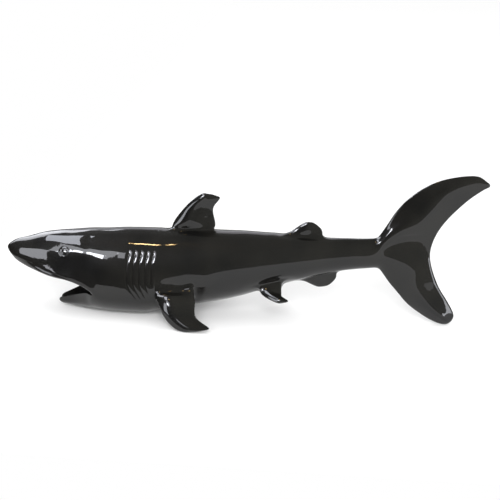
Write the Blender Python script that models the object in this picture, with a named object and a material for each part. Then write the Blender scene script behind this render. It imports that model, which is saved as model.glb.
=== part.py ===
"""Shark figurine cast in one piece, lying on its throat and fin tips.

Metres, +Z up, nose toward -X. The figure is the same on both sides of Y = 0,
and its lowest point is on Z = 0.
"""
import math

import bmesh
import bpy
from mathutils import Vector

# Overall sizes
LENGTH = 0.4755
BODY_DEPTH = 0.0852
BODY_WIDTH = 0.0722

# Fins
FIRST_DORSAL_RISE = 0.0388
SECOND_DORSAL_RISE = 0.0135
FIRST_DORSAL_THICKNESS = 0.0086
SECOND_DORSAL_THICKNESS = 0.0066
PECTORAL_REACH = 0.0265
PECTORAL_THICKNESS = 0.0092
PELVIC_REACH = 0.0118
PELVIC_THICKNESS = 0.0068
ANAL_DROP = 0.0128
ANAL_THICKNESS = 0.0060
TAIL_UP = 0.0808
TAIL_DOWN = 0.0708
TAIL_THICKNESS = 0.0120

# Thickest place along the chord of a fin and of the tail's root, how round the
# fins and the tail's lobes are there, and the share of thickness that edges keep
FIN_CREST = 0.24
TAIL_CREST = 0.46
FIN_ROUND = 1.5
TAIL_ROUND = 1.1
FIN_EDGE = 0.18
TAIL_EDGE = 0.12

# Head and gills; the gills' middle is a share of LENGTH
GILL_COUNT = 5
GILL_PITCH = 0.0061
GILL_DEPTH = 0.0010
GILL_MIDDLE = 0.2938
EYE_DIAMETER = 0.0066
EYE_RIM_DIAMETER = 0.0104
EYE_RIM_RISE = 0.0005
EYE_BULGE = 0.0018
LIP_HEIGHT = 0.0045
PALATE_DROP = 0.0006
PALATE_CURVE = 0.0004
SNOUT_DROP = 0.0008
THROAT_BACK = 0.0040
THROAT_DROP = 0.0030
LOWER_JAW_LENGTH = 0.0425

# How far the belly is ground off, so that it lies flat
BELLY_FLAT = 0.0010

# Ring places around the body, counted from the back (0) to the belly (11)
AROUND = 22
LIP = 7

# Ring of the head that the eye sits on
EYE_RING = 6

# Body outline: place from the nose, back, belly and half width, as shares of
# LENGTH, BODY_DEPTH, BODY_DEPTH and BODY_WIDTH, and how far the widest level
# hangs below the middle, as a share of half the depth
BODY = (
    (0.1966, 0.9730, -0.0060, 0.4570, 0.36),
    (0.2230, 0.9850, -0.0155, 0.4790, 0.38),
    (0.2560, 0.9980, -0.0180, 0.4960, 0.40),
    (0.2960, 1.0060, -0.0140, 0.5010, 0.40),
    (0.3240, 1.0090, 0.0145, 0.4960, 0.39),
    (0.3480, 1.0110, 0.0450, 0.4850, 0.36),
    (0.3790, 1.0141, 0.0790, 0.4670, 0.27),
    (0.4210, 1.0164, 0.1240, 0.4400, 0.15),
    (0.4580, 1.0180, 0.1710, 0.4120, 0.05),
    (0.4920, 1.0170, 0.2210, 0.3870, 0.0),
    (0.5220, 1.0135, 0.2740, 0.3620, 0.0),
    (0.5540, 1.0090, 0.3360, 0.3300, 0.0),
    (0.5890, 1.0040, 0.4000, 0.2920, 0.0),
    (0.6220, 0.9950, 0.4570, 0.2530, 0.0),
    (0.6550, 0.9871, 0.5130, 0.2160, 0.0),
    (0.6880, 0.9824, 0.5610, 0.1820, 0.0),
    (0.7190, 0.9836, 0.6000, 0.1530, 0.0),
    (0.7500, 0.9900, 0.6290, 0.1290, 0.0),
    (0.7720, 0.9990, 0.6430, 0.1120, 0.0),
)

# On the head the sides keep spreading down to the lip: their widest level lies
# under it by this share of the way up to the middle level
HEAD_SWELL = 0.18

# Power of the curve from the widest level to the back: 2 is an ellipse, and less
# is leaner
SIDE_POWER = 1.88

# Upper head outline: place, top, widest level, lip level, middle of the
# underside and half width, in the same shares
HEAD = (
    (0.0189, 0.7960, 0.7000, 0.5760, 0.5520, 0.1400),
    (0.0350, 0.8230, 0.6910, 0.5350, 0.5080, 0.1880),
    (0.0530, 0.8520, 0.6860, 0.4990, 0.4800, 0.2260),
    (0.0720, 0.8830, 0.6840, 0.4760, 0.5000, 0.2600),
    (0.0920, 0.9080, 0.6800, 0.4530, 0.5160, 0.2940),
    (0.1130, 0.9290, 0.6670, 0.4370, 0.5100, 0.3300),
    (0.1329, 0.9430, 0.6420, 0.4250, 0.4930, 0.3660),
    (0.1510, 0.9540, 0.6040, 0.4030, 0.4650, 0.3980),
    (0.1680, 0.9620, 0.5640, 0.3750, 0.4220, 0.4250),
    (0.1815, 0.9670, 0.5240, 0.3370, 0.3730, 0.4440),
)

# Angles of the half ring, in degrees from the back, at some places
ANGLES = (
    (0.00, (0, 9, 27, 46, 66, 85, 102, 115, 128, 148, 170, 180)),
    (0.13, (0, 9, 28, 51, 72, 91, 104, 115, 128, 148, 170, 180)),
    (0.22, (0, 9, 27, 46, 66, 85, 102, 115, 128, 148, 170, 180)),
    (0.31, (0, 9, 27, 46, 66, 85, 103, 116, 128, 148, 170, 180)),
    (0.34, (0, 9, 27, 46, 66, 86, 108, 119, 130, 148, 169, 180)),
    (0.39, (0, 9, 27, 46, 66, 86, 108, 119, 130, 148, 168, 180)),
    (0.44, (0, 9, 27, 46, 65, 84, 102, 115, 128, 147, 168, 180)),
    (0.54, (0, 10, 28, 47, 66, 85, 104, 119, 131, 143, 157, 180)),
    (0.60, (0, 12, 30, 48, 66, 85, 104, 120, 134, 147, 163, 180)),
    (0.66, (0, 13, 31, 49, 67, 86, 103, 119, 135, 151, 167, 180)),
    (0.78, (0, 13, 31, 49, 68, 88, 104, 120, 136, 152, 167, 180)),
)

# Levels of the side fins: leading edge, then trailing edge, as shares of the
# chord back, of the reach out and (last) of the base height or the reach; then
# the slope in degrees and the share of thickness
PECTORAL_LEVELS = (
    (0.04, 0.15, 1.06, 1.06, 0.16, 1.13, 36, 1.10),
    (0.17, 0.40, 0.75, 1.08, 0.42, 0.79, 50, 0.98),
    (0.38, 0.62, 0.30, 1.18, 0.65, 0.45, 52, 0.82),
    (0.70, 0.84, 0.032, 1.50, 0.86, 0.22, 44, 0.66),
)
PELVIC_LEVELS = (
    (0.18, 0.46, -0.13, 0.97, 0.46, -0.01, 22, 1.00),
    (0.46, 0.92, -0.41, 1.01, 0.92, -0.22, 22, 0.78),
    (0.80, 1.34, -0.58, 1.24, 1.36, -0.38, 22, 0.52),
)

# Tail rings behind the body: upper, middle and lower place and level, the
# levels as shares of TAIL_UP above and TAIL_DOWN below the fork, and how far the
# ring has changed from the round body to the flat tail
TAIL_RINGS = (
    ((0.7850, 0.2330), (0.8000, 0.1000), (0.7880, -0.2560), 0.34),
    ((0.8000, 0.3760), (0.8350, 0.1700), (0.8050, -0.4130), 0.70),
    ((0.8175, 0.5480), (0.8760, 0.1400), (0.8270, -0.5860), 1.08),
)
# Lobes: leading edge, trailing edge, thickness and crest along the chord
UPPER_LOBE = (
    ((0.8440, 0.7180), (0.8955, 0.2240), 0.86, 0.46),
    ((0.8800, 0.8710), (0.9120, 0.3930), 0.76, 0.38),
    ((0.9190, 0.9590), (0.9330, 0.5480), 0.64, 0.24),
    ((0.9540, 0.9960), (0.9565, 0.6890), 0.52, 0.16),
    ((0.9770, 0.9930), (0.9745, 0.7790), 0.39, 0.14),
    ((0.9905, 0.9450), (0.9890, 0.8420), 0.27, 0.16),
)
LOWER_LOBE = (
    ((0.8445, -0.7180), (0.8945, -0.2200), 1.18, 0.36),
    ((0.8685, -0.8440), (0.9085, -0.4550), 1.16, 0.35),
    ((0.8915, -0.9370), (0.9245, -0.6250), 1.02, 0.38),
    ((0.9125, -0.9960), (0.9410, -0.8150), 0.76, 0.42),
)
TAIL_FORK = 0.8880

# Ring places of the tail, from the upper or the lower edge to the middle
TAIL_SHARES = (0.06, 0.22, 0.42, 0.66, 0.93)
LOW_TAIL_SHARES = (0.06, 0.20, 0.36, 0.54, 0.73, 0.93)


class Cage:
    """Corner points and faces that the smooth surface is drawn from."""

    def __init__(self):
        self.points = []
        self.faces = []

    def point(self, x, y, z):
        self.points.append(Vector((x, y, z)))
        return len(self.points) - 1

    def face(self, *corners):
        self.faces.append(corners)

    def band(self, first, second, closed=True):
        """Faces between two lines of points that have the same count."""
        count = len(first)
        for i in range(count if closed else count - 1):
            j = (i + 1) % count
            self.face(first[i], first[j], second[j], second[i])


def along(rows, place, column):
    """One column of a table at a place, on a smooth curve through the rows."""
    last = len(rows) - 1
    i = 0
    while i < last - 1 and rows[i + 1][0] < place:
        i += 1
    x0, x1 = rows[i][0], rows[i + 1][0]
    y0, y1 = rows[i][column], rows[i + 1][column]
    before, after = max(i - 1, 0), min(i + 2, last)
    slope0 = (y1 - rows[before][column]) / (x1 - rows[before][0])
    slope1 = (rows[after][column] - y0) / (rows[after][0] - x0)
    t = (place - x0) / (x1 - x0)
    t = min(max(t, 0.0), 1.0)
    step = x1 - x0
    return ((2 * t ** 3 - 3 * t ** 2 + 1) * y0 + (t ** 3 - 2 * t ** 2 + t) * step * slope0
            + (3 * t ** 2 - 2 * t ** 3) * y1 + (t ** 3 - t ** 2) * step * slope1)


def ring_angle(place, k):
    """Angle of ring place k, negative on the starboard side."""
    half = k if k <= AROUND // 2 else AROUND - k
    i = 0
    while i < len(ANGLES) - 2 and ANGLES[i + 1][0] < place:
        i += 1
    t = (place - ANGLES[i][0]) / (ANGLES[i + 1][0] - ANGLES[i][0])
    t = min(max(t, 0.0), 1.0)
    angle = ANGLES[i][1][half] * (1 - t) + ANGLES[i + 1][1][half] * t
    return math.radians(angle if k <= AROUND // 2 else -angle)


def side_curve(away):
    """Half width at a share of the way from the widest level to the edge."""
    return max(1 - abs(away) ** SIDE_POWER, 0.0) ** (1 / SIDE_POWER)


def gill_places():
    """Places of the groove and rib rings, as shares of LENGTH."""
    pitch = GILL_PITCH / LENGTH
    start = GILL_MIDDLE - pitch * (GILL_COUNT - 1) / 2
    rings = []
    for i in range(GILL_COUNT):
        rings.append((start + pitch * (i - 0.5), 0.0))
        rings.append((start + pitch * i, 1.0))
    rings.append((start + pitch * (GILL_COUNT - 0.5), 0.0))
    return rings


def gill_shape(place, k, groove):
    """Inset and rearward shift of a ring place in the gill region."""
    half = min(k, AROUND - k)
    depth_share = (0, 0, 0, 0.45, 1, 1, 1, 1, 0.6, 0, 0, 0)[half]
    lean = (0, 0, 0.11, 0.18, 0.07, 0, 0, 0.14, 0.60, 0.60, 0.35, 0.28)[half] * GILL_PITCH
    early = min(max(0.5 - (place - GILL_MIDDLE) / 0.05, 0.0), 1.0)
    near = min(max(1 - abs(place - GILL_MIDDLE) / 0.042, 0.0), 1.0) ** 0.5
    return GILL_DEPTH * depth_share * groove, lean * early * near


def body_point(place, k, groove=0.0):
    """Ring point of the body, whose sides hang fuller below the middle level."""
    back = along(BODY, place, 1) * BODY_DEPTH
    belly = along(BODY, place, 2) * BODY_DEPTH
    half_width = along(BODY, place, 3) * BODY_WIDTH
    angle = ring_angle(place, k)
    middle = (back + belly) / 2
    half_depth = (back - belly) / 2
    fullest = middle - along(BODY, place, 4) * half_depth
    inset, lean = gill_shape(place, k, groove)
    radius = half_width * abs(math.sin(angle)) + half_depth * abs(math.cos(angle))
    keep = 1 - inset / radius
    z = middle + half_depth * math.cos(angle)
    away = (z - fullest) / (back - fullest if z > fullest else fullest - belly)
    y = math.copysign(half_width * side_curve(away), -angle)
    return place * LENGTH + lean, y * keep, middle + (z - middle) * keep


def lip_tuck(place):
    """How far the lower edge of the head draws in under the snout."""
    return 0.945 - 0.35 * max(1 - place / 0.08, 0.0)


def head_arc_point(row, k):
    """Point of the upper head from the top (0) to the lip, either side."""
    place, top, wide, lip, _, half = row
    side = -1 if k >= 0 else 1
    angle = abs(ring_angle(place, abs(k)))
    reach = half * BODY_WIDTH
    if angle <= math.pi / 2:
        z = wide + (top - wide) * math.cos(angle)
    else:
        lip_angle = ring_angle(place, LIP)
        z = wide - (wide - lip) * math.cos(angle) / math.cos(lip_angle)
    fullest = lip - (wide - lip) * HEAD_SWELL
    y = reach * side_curve((z - fullest) / (top - fullest))
    z *= BODY_DEPTH
    mouth = min(max((place - 0.050) / 0.015, 0.0), 1.0) * min(max((0.150 - place) / 0.02, 0.0), 1.0)
    if abs(k) == LIP:
        y *= lip_tuck(place)
    if abs(k) == LIP - 1:
        y *= 1 - 0.1 * max(1 - place / 0.08, 0.0)
        z += (lip * BODY_DEPTH + LIP_HEIGHT - z) * mouth
    return place * LENGTH, side * y, z


def palate_points(cage, row):
    """Five points of the underside of the head, from port to starboard."""
    place, _, _, lip, under, half = row
    edge = half * BODY_WIDTH * math.sin(ring_angle(place, LIP)) * lip_tuck(place)
    mouth = min(max((place - 0.045) / 0.015, 0.0), 1.0)
    rim = lip * BODY_DEPTH - PALATE_DROP - SNOUT_DROP * (1 - mouth)
    deep = under * BODY_DEPTH
    shares = (-0.84, -0.46, 0.0, 0.46, 0.84)
    levels = (rim, deep + PALATE_CURVE, deep, deep + PALATE_CURVE, rim)
    return [cage.point(place * LENGTH, edge * s, z) for s, z in zip(shares, levels)]


def blunt_nose(cage, ring, upper, lower):
    """Close the front ring of the head with a rounded grid of faces."""
    place, top, wide, _, under, half = HEAD[0]
    reach, level = half * BODY_WIDTH, wide * BODY_DEPTH
    rise, fall = (top - wide) * BODY_DEPTH, (wide - under) * BODY_DEPTH
    top_row = [ring[k % AROUND] for k in range(3, -4, -1)]
    bottom_row = [upper[0]] + lower + [upper[1]]
    port = [ring[k] for k in range(3, LIP + 1)]
    starboard = [ring[-k % AROUND] for k in range(3, LIP + 1)]
    rows = [top_row]
    for r in range(1, 4):
        row = [port[r]]
        for c in range(1, 6):
            across = cage.points[port[r]].lerp(cage.points[starboard[r]], c / 6)
            down = cage.points[top_row[c]].lerp(cage.points[bottom_row[c]], r / 4)
            p = (across + down) / 2
            height = (p.z - level) / (rise if p.z > level else fall)
            away = (p.y / reach) ** 2 + height ** 2
            row.append(cage.point(place * LENGTH * min(away, 1.0), p.y, p.z))
        row.append(starboard[r])
        rows.append(row)
    rows.append(bottom_row)
    for first, second in zip(rows, rows[1:]):
        cage.band(first, second, closed=False)


def upper_head(cage, corner_ring, throat):
    """Snout, upper jaw and palate, ahead of the corner of the mouth."""
    arcs = list(range(-LIP, LIP + 1))
    rings = []
    for row in HEAD:
        ring = {}
        for k in arcs:
            ring[k % AROUND] = cage.point(*head_arc_point(row, k))
        rings.append((ring, palate_points(cage, row)))
    rings.append(({k % AROUND: corner_ring[k % AROUND] for k in arcs}, throat))
    for i in range(len(rings) - 1):
        (ring, under), (ring2, under2) = rings[i], rings[i + 1]
        for k in arcs[:-1]:
            if i in (EYE_RING - 1, EYE_RING) and abs(k + 0.5) in (3.5, 4.5):
                continue
            a, b = k % AROUND, (k + 1) % AROUND
            cage.face(ring[a], ring[b], ring2[b], ring2[a])
        first = [ring[LIP]] + under + [ring[-LIP % AROUND]]
        second = [ring2[LIP]] + under2 + [ring2[-LIP % AROUND]]
        cage.band(first, second, closed=False)
    front, under = rings[0]
    blunt_nose(cage, front, (front[LIP], front[-LIP % AROUND]), under)
    for side in (1, -1):
        eye(cage, [r[0] for r in rings], side)


def eye(cage, rings, side):
    """Raised rim, groove and eyeball set into the side of the head."""
    ks = [side * k % AROUND for k in (3, 4, 5)]
    e = EYE_RING
    edge = [rings[e - 1][ks[0]], rings[e][ks[0]], rings[e + 1][ks[0]], rings[e + 1][ks[1]],
            rings[e + 1][ks[2]], rings[e][ks[2]], rings[e - 1][ks[2]], rings[e - 1][ks[1]]]
    centre = cage.points[rings[e][ks[1]]].copy()
    fore = (cage.points[edge[3]] - cage.points[edge[7]]).normalized()
    up = (cage.points[edge[1]] - cage.points[edge[5]]).normalized()
    out = fore.cross(up).normalized()
    if out.y * side > 0:
        out = -out
    up = out.cross(fore).normalized()
    if up.z < 0:
        up = -up
    ball = EYE_DIAMETER / 2
    rim = EYE_RIM_DIAMETER / 2
    loops = ((rim * 1.15, 0.0), (rim * 0.86, EYE_RIM_RISE), (ball * 1.12, -EYE_RIM_RISE),
             (ball * 0.74, EYE_BULGE * 0.62))
    before = edge
    for radius, height in loops:
        loop = []
        for i in range(8):
            away = cage.points[edge[i]] - centre
            fall = -away.dot(out) * (radius / away.length) ** 2
            turn = math.radians(135 - 45 * i)
            p = centre + (fore * math.cos(turn) + up * math.sin(turn)) * radius + out * (height - fall)
            loop.append(cage.point(*p))
        cage.band(before, loop)
        before = loop
    pupil = cage.point(*(centre + out * EYE_BULGE))
    for i in (0, 2, 4, 6):
        cage.face(before[i], before[(i + 1) % 8], pupil, before[i - 1])


def lower_jaw(cage, corner_ring, throat):
    """Scooped lower jaw, ahead of the corner of the mouth."""
    # reach forward as a share of LOWER_JAW_LENGTH, half width, rim and underside
    sections = (
        (0.18, 0.368, 0.2500, -0.0010, 0.085),
        (0.36, 0.285, 0.2180, 0.0030, 0.080),
        (0.55, 0.204, 0.1830, 0.0080, 0.078),
        (0.75, 0.134, 0.1460, 0.0200, 0.078),
        (0.93, 0.076, 0.1080, 0.0380, 0.076),
    )
    corner = cage.points[corner_ring[LIP]].x
    before = [corner_ring[k] for k in range(LIP, AROUND - LIP + 1)] + throat[::-1]
    for forward, half, rim, under, floor in sections:
        x = corner - forward * LOWER_JAW_LENGTH
        w, rim, under, floor = half * BODY_WIDTH, rim * BODY_DEPTH, under * BODY_DEPTH, floor * BODY_DEPTH
        loop = []
        full = forward * 0.12
        outer = ((1.0, 1.0), (0.86 + full, 0.52), (0.56 + full, 0.17), (0.20 + full, 0.015), (0.0, 0.0))
        for share, level in outer:
            loop.append(cage.point(x, -w * share, under + (rim - under) * level))
        for share, level in outer[-2::-1]:
            loop.append(cage.point(x, w * share, under + (rim - under) * level))
        for share, level in ((0.84, 0.92), (0.50, 0.12), (0.0, 0.0), (-0.50, 0.12), (-0.84, 0.92)):
            loop.append(cage.point(x, w * share, floor + (rim - floor) * level))
        cage.band(before, loop)
        before = loop
    upper = [before[0]] + before[:8:-1] + [before[8]]
    cage.band(upper, before[1:8], closed=False)


def chord_shape(share, crest, power=FIN_ROUND, edge=FIN_EDGE):
    """Thickness of a fin along its chord, as a share of the greatest, at the crest."""
    near = share / crest if share < crest else (1 - share) / (1 - crest)
    return edge + (1 - edge) * (1 - (1 - near) ** power)


def fin(cage, root, levels, tip_lift, power=FIN_ROUND, edge=FIN_EDGE):
    """Grow a fin out of a loop of points: front, one side, rear, other side.

    The tip's ridge is lifted by a vector, most of all in the middle.
    """
    n = (len(root) - 2) // 2
    shares = [0.05 + 0.88 * j / (n - 1) for j in range(n)]
    before = root
    for front, rear, half, crest in levels:
        front, rear = Vector(front), Vector(rear)
        sides = []
        for way in (1, -1):
            line = []
            for share in shares:
                p = front.lerp(rear, share) + half * (way * chord_shape(share, crest, power, edge))
                line.append(cage.point(*p))
            sides.append(line)
        loop = [cage.point(*front)] + sides[0] + [cage.point(*rear)] + sides[1][::-1]
        cage.band(before, loop)
        before = loop
    ridge = [before[0]]
    for share in shares[1:-1]:
        p = front.lerp(rear, share) + Vector(tip_lift) * math.sin(math.pi * (0.12 + 0.76 * share))
        ridge.append(cage.point(*p))
    ridge.append(before[n + 1])
    for j in range(n - 1):
        cage.face(before[1 + j], before[2 + j], ridge[j + 1], ridge[j])
        cage.face(before[-1 - j], ridge[j], ridge[j + 1], before[-2 - j])


def strip_loop(rings, first, last, k):
    """Open loop around the faces on both sides of line k."""
    left = [rings[i][(k + 1) % AROUND] for i in range(first, last + 1)]
    right = [rings[i][(k - 1) % AROUND] for i in range(first, last + 1)]
    return [rings[first][k % AROUND]] + left + [rings[last][k % AROUND]] + right[::-1]


def first_dorsal(cage, rings, first, last):
    base = cage.points[rings[first][0]]
    rear = cage.points[rings[last][0]]
    chord = rear.x - base.x
    rise = FIRST_DORSAL_RISE
    half = Vector((0, -FIRST_DORSAL_THICKNESS / 2, 0))
    levels = []
    for x0, z0, x1, z1, thick in ((0.06, 0.15, 1.00, 0.13, 1.0), (0.23, 0.44, 0.95, 0.42, 0.86),
                                  (0.43, 0.71, 0.97, 0.65, 0.74), (0.66, 0.93, 1.09, 0.84, 0.58)):
        levels.append(((base.x + x0 * chord, 0, base.z + z0 * rise),
                       (base.x + x1 * chord, 0, base.z + z1 * rise), thick * half, FIN_CREST))
    fin(cage, strip_loop(rings, first, last, 0), levels, (0.04 * rise, 0, 0.06 * rise))


def second_dorsal(cage, rings, first, last):
    base = cage.points[rings[first][0]]
    chord = cage.points[rings[last][0]].x - base.x
    rise = SECOND_DORSAL_RISE
    half = Vector((0, -SECOND_DORSAL_THICKNESS / 2, 0))
    levels = []
    for x0, z0, x1, z1, thick in ((0.19, 0.30, 0.95, 0.26, 1.0), (0.36, 0.68, 0.87, 0.62, 0.84),
                                  (0.50, 0.92, 0.74, 0.90, 0.62)):
        levels.append(((base.x + x0 * chord, 0, base.z + z0 * rise),
                       (base.x + x1 * chord, 0, base.z + z1 * rise), thick * half, FIN_CREST))
    fin(cage, strip_loop(rings, first, last, 0), levels, (0, 0, 0.07 * rise))


def anal_fin(cage, rings, first, last):
    k = AROUND // 2
    base = cage.points[rings[first][k]]
    rear = cage.points[rings[last][k]]
    chord = rear.x - base.x
    drop = ANAL_DROP
    half = Vector((0, ANAL_THICKNESS / 2, 0))
    levels = []
    for x0, z0, x1, z1, thick in ((0.22, -0.14, 0.96, 0.38, 1.0), (0.44, -0.42, 0.82, -0.18, 0.70)):
        levels.append(((base.x + x0 * chord, 0, base.z + z0 * drop),
                       (base.x + x1 * chord, 0, base.z + z1 * drop), thick * half, FIN_CREST))
    fin(cage, strip_loop(rings, first, last, k), levels, (0.04 * drop, 0, -0.14 * drop))


def turned_down(side, slope, half):
    """Half a fin's thickness as a vector, for a fin that slopes down by some degrees."""
    turn = math.radians(slope)
    return Vector((0, side * math.sin(turn), math.cos(turn))) * (side * half)


def pectoral(cage, rings, first, last, side):
    """Stubby fin that leaves the body level and bends down to the ground."""
    k = LIP if side < 0 else AROUND - LIP
    base = cage.points[rings[first][k]]
    chord = cage.points[rings[last][k]].x - base.x
    levels = []
    for x0, y0, z0, x1, y1, z1, slope, thick in PECTORAL_LEVELS:
        levels.append(((base.x + x0 * chord, side * (abs(base.y) + y0 * PECTORAL_REACH), z0 * base.z),
                       (base.x + x1 * chord, side * (abs(base.y) + y1 * PECTORAL_REACH), z1 * base.z),
                       turned_down(side, slope, thick * PECTORAL_THICKNESS / 2), FIN_CREST))
    fin(cage, strip_loop(rings, first, last, k), levels,
        (0.13 * PECTORAL_REACH, side * 0.10 * PECTORAL_REACH, -0.05 * PECTORAL_REACH))


def pelvic(cage, rings, first, last, side):
    """Small fin that leans out from the underside."""
    k = 9 if side < 0 else AROUND - 9
    base = cage.points[rings[first][k]]
    chord = cage.points[rings[last][k]].x - base.x
    levels = []
    for x0, y0, z0, x1, y1, z1, slope, thick in PELVIC_LEVELS:
        levels.append(((base.x + x0 * chord, side * (abs(base.y) + y0 * PELVIC_REACH),
                        base.z + z0 * PELVIC_REACH),
                       (base.x + x1 * chord, side * (abs(base.y) + y1 * PELVIC_REACH),
                        base.z + z1 * PELVIC_REACH),
                       turned_down(side, slope, thick * PELVIC_THICKNESS / 2), FIN_CREST))
    fin(cage, strip_loop(rings, first, last, k), levels,
        (0.05 * PELVIC_REACH, side * 0.07 * PELVIC_REACH, -0.07 * PELVIC_REACH))


def tail_point(upper, middle, lower, k, change, fork_level):
    """Point of a ring that opens from the round body into the tail."""
    half = min(k, AROUND - k)
    side = -1 if k <= AROUND // 2 else 1
    angle = abs(ring_angle(0.78, half))
    if half <= 5:
        end, share = upper, ((0.0,) + TAIL_SHARES)[half]
    else:
        end, share = lower, ((0.0,) + LOW_TAIL_SHARES)[AROUND // 2 - half]
    round_share = 1 - abs(math.cos(angle))
    share = round_share + (share - round_share) * change
    x = end[0] + (middle[0] - end[0]) * share
    z = end[1] + (middle[1] - end[1]) * share
    thin = 0.0
    if share > 0.0:
        thin = TAIL_THICKNESS / 2 * chord_shape(share, TAIL_CREST, TAIL_ROUND, TAIL_EDGE)
    thick = along(BODY, 0.77, 3) * BODY_WIDTH * side_curve(math.cos(angle))
    y = thick + (thin - thick) * change
    z *= TAIL_UP if z > 0 else TAIL_DOWN
    return x * LENGTH, side * y, fork_level + z


def tail(cage, last_ring):
    """Upper and lower lobe, parted at the fork."""
    fork_level = TAIL_DOWN
    before = last_ring
    for upper, middle, lower, change in TAIL_RINGS:
        ring = []
        for k in range(AROUND):
            ring.append(cage.point(*tail_point(upper, middle, lower, k, change, fork_level)))
        cage.band(before, ring)
        before = ring
    fork = cage.point(TAIL_FORK * LENGTH, 0, fork_level)
    up_root = [before[0]] + before[1:6] + [fork] + before[17:22]
    down_root = [before[11]] + before[12:18] + [fork] + before[5:11]
    for root, lobe, size, side, lift in ((up_root, UPPER_LOBE, TAIL_UP, -1, (0.057, 0, -0.005)),
                                         (down_root, LOWER_LOBE, TAIL_DOWN, 1, (0.070, 0, -0.070))):
        levels = []
        for front, rear, thick, crest in lobe:
            levels.append(((front[0] * LENGTH, 0, fork_level + front[1] * size),
                           (rear[0] * LENGTH, 0, fork_level + rear[1] * size),
                           Vector((0, side * thick * TAIL_THICKNESS / 2, 0)), crest))
        fin(cage, root, levels, Vector(lift) * size, TAIL_ROUND, TAIL_EDGE)


def draw_out(cage, rounds=5):
    """Move the cage outward until the smooth surface passes its own points."""
    edges = [set() for _ in cage.points]
    corners = [set() for _ in cage.points]
    for face in cage.faces:
        for i, point in enumerate(face):
            edges[point].update((face[i - 1], face[(i + 1) % 4]))
            corners[point].add(face[(i + 2) % 4])
    wanted = [p.copy() for p in cage.points]
    for _ in range(rounds):
        moved = []
        for i, point in enumerate(cage.points):
            n = len(edges[i])
            if n == 0:
                moved.append(point)
                continue
            near = sum((cage.points[j] for j in edges[i]), Vector())
            far = sum((cage.points[j] for j in corners[i]), Vector())
            surface = (point * n * n + near * 4 + far) / (n * (n + 5))
            moved.append(point + (wanted[i] - surface) * 0.9)
        cage.points = moved


def build_cage():
    cage = Cage()
    places = [(0.1966, 0.0), (0.2300, 0.0)]
    places += gill_places()
    places += [(p, 0.0) for p in (0.3290, 0.3490, 0.3680, 0.3880, 0.4080, 0.4270, 0.4440,
                                  0.4890, 0.5340, 0.5530, 0.5710, 0.5890,
                                  0.6180, 0.6440, 0.6700, 0.7010, 0.7370, 0.7720)]
    rings = []
    for place, groove in places:
        rings.append([cage.point(*body_point(place, k, groove)) for k in range(AROUND)])
    start = 2 + 2 * GILL_COUNT + 1
    pectoral_span = (start, start + 4)
    dorsal_span = (start + 1, start + 6)
    pelvic_span = (start + 8, start + 11)
    second_span = (start + 11, start + 14)
    anal_span = (start + 12, start + 15)
    openings = set()
    for span, k in ((dorsal_span, 0), (second_span, 0), (anal_span, 11), (pectoral_span, LIP),
                    (pectoral_span, AROUND - LIP), (pelvic_span, 9), (pelvic_span, AROUND - 9)):
        for i in range(*span):
            openings.add((i, k % AROUND))
            openings.add((i, (k - 1) % AROUND))
    for i in range(len(rings) - 1):
        for k in range(AROUND):
            if (i, k) not in openings:
                j = (k + 1) % AROUND
                cage.face(rings[i][k], rings[i][j], rings[i + 1][j], rings[i + 1][k])
    first_dorsal(cage, rings, *dorsal_span)
    second_dorsal(cage, rings, *second_span)
    anal_fin(cage, rings, *anal_span)
    for side in (-1, 1):
        pectoral(cage, rings, *pectoral_span, side)
        pelvic(cage, rings, *pelvic_span, side)
    tail(cage, rings[-1])
    corner = cage.points[rings[0][LIP]]
    throat = []
    for share in (-0.84, -0.46, 0.0, 0.46, 0.84):
        throat.append(cage.point(corner.x + THROAT_BACK * (1 - abs(share)),
                                 abs(corner.y) * share, corner.z - THROAT_DROP))
    upper_head(cage, rings[0], throat)
    lower_jaw(cage, rings[0], throat)
    draw_out(cage)
    return cage


def smooth_mesh(cage, levels):
    """Surface drawn from the cage, standing on Z = 0 with a flat belly."""
    mesh = bpy.data.meshes.new("shark_figure")
    mesh.from_pydata(cage.points, [], cage.faces)
    figure = bpy.data.objects.new("shark_figure", mesh)
    bpy.context.scene.collection.objects.link(figure)
    bm = bmesh.new()
    bm.from_mesh(mesh)
    loose = [v for v in bm.verts if not v.link_faces]
    bmesh.ops.delete(bm, geom=loose, context="VERTS")
    bmesh.ops.recalc_face_normals(bm, faces=bm.faces)
    bm.to_mesh(mesh)
    bm.free()
    smooth = figure.modifiers.new("Smooth", "SUBSURF")
    smooth.levels = levels
    smooth.render_levels = levels
    bpy.context.view_layer.objects.active = figure
    figure.select_set(True)
    bpy.ops.object.modifier_apply(modifier=smooth.name)
    mesh = figure.data
    xs = [v.co.x for v in mesh.vertices]
    middle = (min(xs) + max(xs)) / 2
    ground = min(v.co.z for v in mesh.vertices) + BELLY_FLAT
    for v in mesh.vertices:
        v.co.x -= middle
        v.co.z = max(v.co.z - ground, 0.0)
    for polygon in mesh.polygons:
        polygon.use_smooth = True
    return figure


def lacquer():
    """Deep black gloss lacquer over cast resin."""
    material = bpy.data.materials.new("black_lacquer")
    material.use_nodes = True
    shader = material.node_tree.nodes["Principled BSDF"]
    shader.inputs["Base Color"].default_value = (0.010, 0.010, 0.009, 1.0)
    shader.inputs["Roughness"].default_value = 0.12
    shader.inputs["Metallic"].default_value = 0.0
    return material


for old in list(bpy.data.objects):
    bpy.data.objects.remove(old, do_unlink=True)
shark = smooth_mesh(build_cage(), 1)
shark.data.materials.append(lacquer())
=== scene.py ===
"""Looks for the shark figurine: fine skin, black lacquer, floor, lights and camera.

Metres, +Z up, nose toward -X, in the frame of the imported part. The skin is drawn
from the same cage as the solid, smoothed three times where the solid is smoothed
once, and stands where the solid does.
"""

import math

import bmesh
import bpy
import numpy as np
from mathutils import Matrix, Vector, noise
from mathutils.bvhtree import BVHTree


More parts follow.
